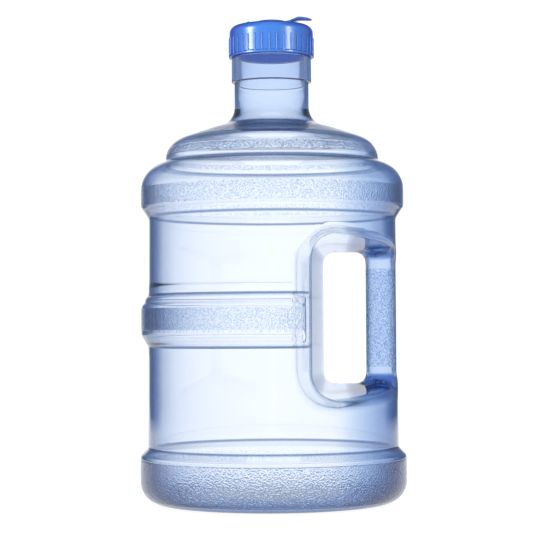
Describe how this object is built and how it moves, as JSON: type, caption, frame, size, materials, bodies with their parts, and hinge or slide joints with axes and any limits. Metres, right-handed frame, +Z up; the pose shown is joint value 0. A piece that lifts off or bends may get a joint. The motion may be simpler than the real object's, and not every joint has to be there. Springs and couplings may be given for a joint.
{
  "type": "water jug",
  "caption": "Clear blown-plastic water jug with a stippled base, rib and shoulder, a hollow grip beside a hand opening, and a screw cap with a flip stopper.",
  "frame": {"origin": "centre of the base, on the surface that the jug stands on", "axes": "+Z up along the neck, +X towards the grip, -Y towards the front"},
  "size_m": [0.1996, 0.1996, 0.3659],
  "materials": {
    "clear_shell": "clear, faintly blue blown polycarbonate with pebbled bands",
    "cap_plastic": "glossy moulded blue plastic",
    "liner_foam": "pressed white foam",
    "stopper_plastic": "glossy moulded blue plastic",
    "seal_rubber": "soft translucent silicone"
  },
  "bodies": {
    "bottle": {"bottle": "clear_shell"},
    "liner": {"cap_liner": "liner_foam"},
    "cap": {"cap_shell": "cap_plastic"},
    "lid": {"stopper": "stopper_plastic", "stopper_seal": "seal_rubber"}
  },
  "joints": [
    {"name": "cap_rise", "type": "slide", "parent": "bottle", "child": "liner", "axis": [0, 0, 1], "range_m": [0, 0.024]},
    {"name": "cap_turn", "type": "hinge", "parent": "liner", "child": "cap", "pos_m": [0, 0, 0.345], "axis": [0, 0, 1], "range_deg": [0, 1440]},
    {"name": "stopper_flip", "type": "hinge", "parent": "cap", "child": "lid", "pos_m": [-0.017, 0, 0.3607], "axis": [0, -1, 0], "range_deg": [0, 150]}
  ],
  "couplings": [
    {"joint": "cap_rise", "follows": "cap_turn", "m_per_rad": 0.00095492}
  ]
}
